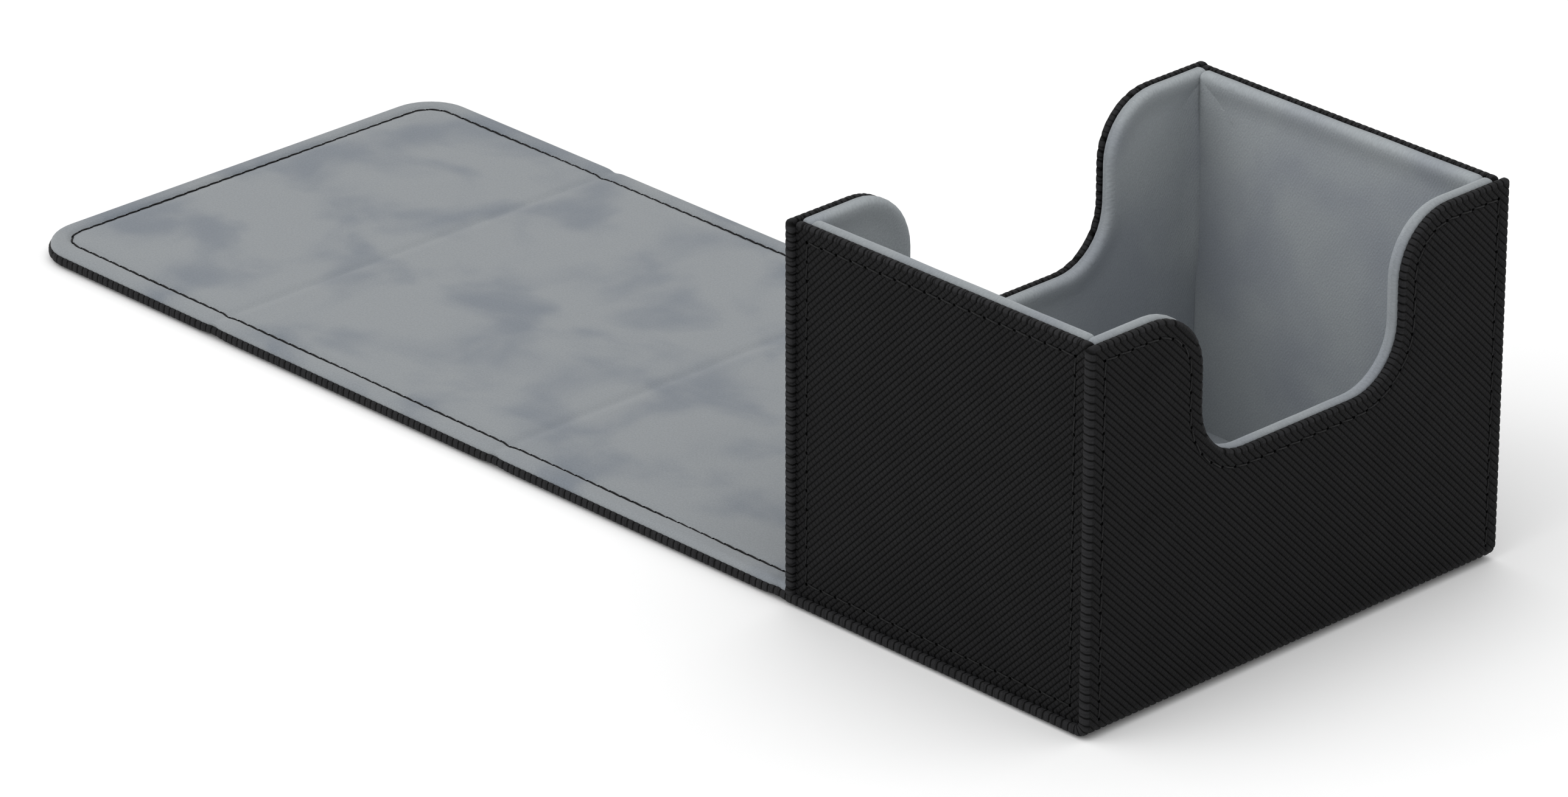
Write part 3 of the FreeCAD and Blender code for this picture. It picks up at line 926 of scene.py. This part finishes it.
SIDE_SWELL = 0.95
SIDE_FADE = (TOP_Z - 18, TOP_Z - 6)
SIDE_FOOT, SIDE_HEAD = INSIDE_X + 0.95, INSIDE_X - 0.4  # narrower above, between the rims
right_end = [(SIDE_FOOT, WALL_FOOT, 0, 0), (SIDE_FOOT, SIDE_FADE[0], 3.0, 0),
             (SIDE_HEAD, SIDE_FADE[1], 3.0, 0), (SIDE_HEAD, TOP_Z, 1.2, 0)]
side_rim = right_end + [(-u, v, r, lip) for u, v, r, lip in reversed(right_end)]
for side, place, seed in (("left", in_left_wall, 3.5), ("right", in_right_wall, 4.5)):
    line_wall(side, side_rim, SIDE_Y + INSIDE_Y, SIDE_SWELL, SIDE_FADE, place, seed)

FLOOR_ROLL = turned(quarter(1.0), (0.4, 0))
floor_x, floor_y = INSIDE_X + 0.5, -INSIDE_Y + 0.5
floor_corners = [(-floor_x, -floor_y, 1.4, 0), (floor_x, -floor_y, 1.4, 0),
                 (floor_x, floor_y, 1.4, 0), (-floor_x, floor_y, 1.4, 0)]
cells, inner = bands(floor_corners, 1.0, [-1.0, 0.0, 0.4, 0.8, 1.2, 1.6, 1.9], closed=True)
floor_lining = lining_piece("floor_microfibre", cells + middle(inner), on_floor, tray_lining_painted_light,
                            FLOOR_ROLL, soft_height(5.5, FOAM_WAVE))
finish_piece(floor_lining, "lining", "tray", "floor_lining")

# %% [markdown]
# ## The padded lining of the cover
# The cover is lined the same way, but here the seam shows: it pulls the foam down, and
# the rest of the edge swells outside it as a plump roll. At each fold there is only cloth, so
# the lining sinks to a faint crease.

# %% Cover linings
ROLL_R = 1.25
COVER_ROLL = turned(quarter(ROLL_R), (0.5, 0))
LINING_SEAM = COVER_SEAM - (HALF_WIDTH - LINING_Y)  # seam's distance from the lining's edge
VALLEY = 0.55
CREASE = 0.3
CREASE_HALF = 1.3
COVER_RINGS = [-(LINING_SEAM - ROLL_R + x) for x in (3.0, 2.0, 1.4, 1.0, 0.7, 0.4, 0.2, 0.0)]
COVER_RINGS += [-(LINING_SEAM - ROLL_R - x) for x in (0.2, 0.4, 0.7, 1.0, 1.4)]
COVER_RINGS += [-0.35, 0.0, 0.3, 0.6, 0.9, 1.2, 1.5, 1.8, 2.1]


def creased(u, h):
    """The height h, lowered along each fold."""
    for axis, _, _ in FOLDS.values():
        h = h - CREASE * np.exp(-(((u - axis) / CREASE_HALF) ** 2))
    return h


def cover_height(seed):
    waves = soft_height(seed, 0.12)

    def height(u, v, s):
        gap = s + LINING_SEAM - ROLL_R
        width = np.where(gap < 0, 1.1, 0.75)
        h = waves(u, v, s) * (s < 0) - VALLEY * np.exp(-((gap / width) ** 2))
        h = h - 0.1 * (gap < 0) * (1 - np.exp(-((gap / 1.1) ** 2)))
        return creased(u, h)

    return height


def lining_edges(x_near, x_far):
    return [[(x_far, -LINING_Y, 0, 0), (x_near, -LINING_Y, 0, 0)],
            [(x_near, LINING_Y, 0, 0), (x_far, LINING_Y, 0, 0)]]


def cover_lining_piece(name, runs):
    cells = []
    loop = []
    for run in runs:
        band, inner = bands(run, ROLL_R, COVER_RINGS)
        cells += band
        loop += inner
    cells += middle(loop)
    near = [axis + d for axis, _, _ in FOLDS.values() for d in np.arange(-3.9, 3.91, 0.65)]
    cells = sliced(cells, (1, 0), sorted(near))
    piece = lining_piece(name, cells, in_cover, cover_lining, COVER_ROLL, cover_height(7.5))
    return piece


for name, near, far in PANELS:
    edges = lining_edges(near - FOLD_HALF, far + FOLD_HALF)
    lining = cover_lining_piece(f"{name}_microfibre", edges)
    finish_piece(lining, "lining", name, f"{name}_lining")
flap_start = FRONT_FOLD - FOLD_HALF
lining_tip_r = TIP_R - (HALF_WIDTH - LINING_Y)
flap_run = [(flap_start, LINING_Y, 0, 0), (LINING_TIP_X, LINING_Y, lining_tip_r, 0),
            (LINING_TIP_X, -LINING_Y, lining_tip_r, 0), (flap_start, -LINING_Y, 0, 0)]
lining = cover_lining_piece("closing_flap_microfibre", [flap_run])
finish_piece(lining, "lining", "closing_flap", "closing_flap_lining")
for name, (axis, parent, child) in FOLDS.items():
    near = -FRONT_X - 0.05 if name == "rear" else axis + FOLD_HALF
    lining = cover_lining_piece(f"{name}_fold_microfibre", lining_edges(near, axis - FOLD_HALF))
    bend(lining, axis, parent, child)
    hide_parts(f"{name}_fold_lining")

# %% [markdown]
# ## Stitching
# A lockstitch seam looks like a row of short cords. Each one comes up through a needle hole,
# lies on the surface for about three millimetres, slightly askew because of the needle's
# twist, and dives into the next hole. Each is a small tube laid along the seam line of
# the same pattern as the skin, so it follows every corner.

# %% Stitch maker
STITCH = 2.95
WALL_STITCH = 3.3
SIDE_STITCH = 3.6
THREAD_R = 0.19
HOLE_R = 0.3
SIDES = 7
LAY = np.array([0.0, 0.06, 0.16, 0.35, 0.65, 0.84, 0.94, 1.0])
RISE = np.array([-0.34, -0.14, -0.03, 0.0, 0.0, -0.03, -0.14, -0.34])
SLANT_OFF = 0.15


def sew(name, seams):
    """One thread piece from several (line, place, height, stitch length) seams."""
    verts, faces, uvs, marks = [], [], [], []
    for line, place, level, stitch in seams:
        steps = np.hypot(*np.diff(line, axis=0).T)
        way = np.concatenate(([0], np.cumsum(steps)))
        count = max(1, round(way[-1] / stitch))
        pitch = way[-1] / count
        for i in range(count):
            d = (i + 0.04 + 0.92 * LAY) * pitch
            u, v = (np.interp(d, way, line[:, k]) for k in (0, 1))
            ends = [np.interp(d + e, way, line[:, k]) for k in (0, 1) for e in (-0.2, 0.2)]
            tu, tv = ends[1] - ends[0], ends[3] - ends[2]
            long = np.maximum(np.hypot(tu, tv), 1e-9)
            side_u, side_v = -tv / long, tu / long
            askew = SLANT_OFF * (1 - 2 * LAY)
            start = len(verts)
            for k in range(SIDES):
                a = 2 * math.pi * k / SIDES
                off = askew + THREAD_R * math.cos(a)
                lift = level + RISE + THREAD_R * math.sin(a)
                ring = np.stack(place(u + side_u * off, v + side_v * off, lift), axis=1) * MM
                verts.extend(ring.tolist())
                uvs.extend([(x, k * 0.2) for x in d])
            n = len(LAY)
            for k in range(SIDES):
                j = (k + 1) % SIDES
                for m in range(n - 1):
                    faces.append([start + k * n + m, start + k * n + m + 1,
                                  start + j * n + m + 1, start + j * n + m])
                    marks.append(0)
        # Each needle hole is a flat dark disc just above the seam: painted shade for the hole.
        for i in range(count + 1):
            u, v = (float(np.interp(i * pitch, way, line[:, k])) for k in (0, 1))
            around = np.arange(8) * math.pi / 4
            start = len(verts)
            rim = place(u + HOLE_R * np.cos(around), v + HOLE_R * np.sin(around),
                        np.full(8, level + 0.02))
            verts.extend((np.stack(rim, axis=1) * MM).tolist())
            uvs.extend([(0, 0)] * 8)
            faces.append(list(range(start, start + 8)))
            marks.append(1)
    mesh = bpy.data.meshes.new(name)
    mesh.from_pydata(verts, [], faces)
    uv = mesh.uv_layers.new(name="cut_mm")
    for loop in mesh.loops:
        uv.data[loop.index].uv = uvs[loop.vertex_index]
    mesh.materials.append(thread)
    mesh.materials.append(hole)
    mesh.polygons.foreach_set("material_index", marks)
    mesh.polygons.foreach_set("use_smooth", [m == 0 for m in marks])
    piece = bpy.data.objects.new(name, mesh)
    bpy.context.scene.collection.objects.link(piece)
    print(f"{name}: {marks.count(1)} needle holes")
    return piece


# %% [markdown]
# ### Seams of the tray
# The front and back walls are sewn down both upright edges and along the top with its
# cut-out. The side walls are sewn all the way round.

# %% Tray seams
SKIN_LEVEL = -0.12  # the bottom of the pressed seam


def open_seams(corners, place, level, inset, stitch=STITCH):
    """Seam lines of an open pattern edge: split at the corners that have no radius."""
    parts = []
    current = [corners[0]]
    for c in corners[1:]:
        current.append(c)
        if c[2] == 0:
            parts.append(current)
            current = [c]
    lines = []
    for k, part in enumerate(parts):
        points = [p[:2] for p in edge_line(part, inset)]
        if k > 0:
            points[0] = shifted(points[0], points[1], inset)
        if k < len(parts) - 1:
            points[-1] = shifted(points[-1], points[-2], inset)
        lines.append((np.array(points), place, level, stitch))
    return lines


def shifted(end, towards, distance):
    """The end of a line moved along it, so that two seams meet in the corner."""
    step = np.array(towards) - np.array(end)
    return tuple(np.array(end) + step / np.hypot(*step) * distance)


for side, foot, place in (("front", EDGE_R + 0.3, on_strip), ("back", STRIP + 2.0, on_back_wall)):
    seams = open_seams(wall_outline(HALF_WIDTH, foot, 0), place, SKIN_LEVEL, WALL_SEAM, WALL_STITCH)
    piece = sew(f"{side}_wall_thread", seams)
    finish_piece(piece, "thread", "tray", f"{side}_wall_stitching")
low, high, end = STRIP, TOP_Z, SIDE_END_X
round_side = [(-end, low, 0, 0), (end, low, 0, 0), (end, high, 0, 0), (-end, high, 0, 0),
              (-end, low, 0, 0)]
for side, place in (("left", on_left_wall), ("right", on_right_wall)):
    seams = open_seams(round_side, place, SKIN_LEVEL, WALL_SEAM, SIDE_STITCH)
    seams[0][0][0][0] += WALL_SEAM
    seams[-1][0][-1][1] += WALL_SEAM
    piece = sew(f"{side}_wall_thread", seams)
    finish_piece(piece, "thread", "tray", f"{side}_wall_stitching")

# %% [markdown]
# ### Seams of the cover
# The cover's seam goes through skin, board edge and lining, so each stitch shows on both
# faces. The stitches over a fold are a separate piece.

# %% Cover seams
LINING_LEVEL = -VALLEY + 0.1


def on_strip_pinched(u, v, h):
    return on_strip(u, v, h + pinched(u, v))


def in_cover_creased(u, v, h):
    return in_cover(u, v, creased(u, h))


def both_faces(x_near, x_far):
    """The straight seams of a stretch of the cover, on the skin and on the lining."""
    seams = []
    for side in (-1, 1):
        y = side * (HALF_WIDTH - COVER_SEAM)
        skin_line = np.array([(y, strip_v(x_near)), (y, strip_v(x_far))])
        lining_line = np.array([(x_near, y), (x_far, y)])
        seams.append((skin_line, on_strip_pinched, SKIN_LEVEL, STITCH))
        seams.append((lining_line, in_cover_creased, LINING_LEVEL, STITCH))
    return seams


for name, near, far in PANELS:
    piece = sew(f"{name}_thread", both_faces(near - FOLD_HALF, far + FOLD_HALF))
    finish_piece(piece, "thread", name, f"{name}_stitching")
flap_seams = open_seams(flap_corners, on_strip, SKIN_LEVEL, COVER_SEAM)
flap_seams += open_seams(flap_run, in_cover, LINING_LEVEL, LINING_SEAM)
piece = sew("closing_flap_thread", flap_seams)
finish_piece(piece, "thread", "closing_flap", "closing_flap_stitching")
for name, (axis, parent, child) in FOLDS.items():
    piece = sew(f"{name}_fold_thread", both_faces(axis + FOLD_HALF, axis - FOLD_HALF))
    bend(piece, axis, parent, child)

# %% [markdown]
# ## Floor and light
# The case stands on a plain white table in a soft studio: one broad light above, one large
# softbox at the left, a small weak one at the right, and a pale room that fills the shadows.
# The view transform is set to Standard, so that the colours picked for the materials are the
# colours in the picture.

# %% Stage
bpy.context.scene.view_settings.view_transform = "Standard"
table_material, tree, shader = new_material("white_table_top", Roughness=0.9)
specks = add(tree, "TexNoise", {"Scale": 40.0})
tone = add(tree, "Mix", {"Factor": specks.outputs[0], 6: linear("#f4f4f4"),
                         7: linear("#f8f8f8")}, data_type="RGBA")
tree.links.new(tone.outputs[2], shader.inputs["Base Color"])
floor_mesh = bpy.data.meshes.new("table_top")
FLOOR_HALF = 6.0
floor_mesh.from_pydata([(-FLOOR_HALF, -FLOOR_HALF, 0), (FLOOR_HALF, -FLOOR_HALF, 0),
                        (FLOOR_HALF, FLOOR_HALF, 0), (-FLOOR_HALF, FLOOR_HALF, 0)], [],
                       [(0, 1, 2, 3)])
floor_mesh.materials.append(table_material)
table_top = bpy.data.objects.new("table_top", floor_mesh)
table_top.location.z = -0.0004
bpy.context.scene.collection.objects.link(table_top)

world = bpy.data.worlds.new("pale_room")
bpy.context.scene.world = world
world.use_nodes = True
world.node_tree.nodes["Background"].inputs["Color"].default_value = (1, 1, 1, 1)
world.node_tree.nodes["Background"].inputs["Strength"].default_value = 0.8


def softbox(name, place, target, size, watts):
    lamp = bpy.data.lights.new(name, "AREA")
    lamp.shape = "RECTANGLE"
    lamp.size, lamp.size_y = size
    lamp.energy = watts
    holder = bpy.data.objects.new(name, lamp)
    holder.location = place
    holder.rotation_euler = (Vector(target) - Vector(place)).to_track_quat("-Z", "Y").to_euler()
    bpy.context.scene.collection.objects.link(holder)
    return holder


softbox("overhead_softbox", (-0.1, -0.1, 1.3), (-0.08, 0, 0), (1.4, 1.4), 5)
softbox("left_softbox", (-0.45, -1.3, 1.2), (-0.05, 0, 0.03), (1.8, 1.4), 10.5)
softbox("right_softbox", (0.65, 0.95, 1.0), (0.0, 0, 0.03), (0.5, 0.5), 0.8)
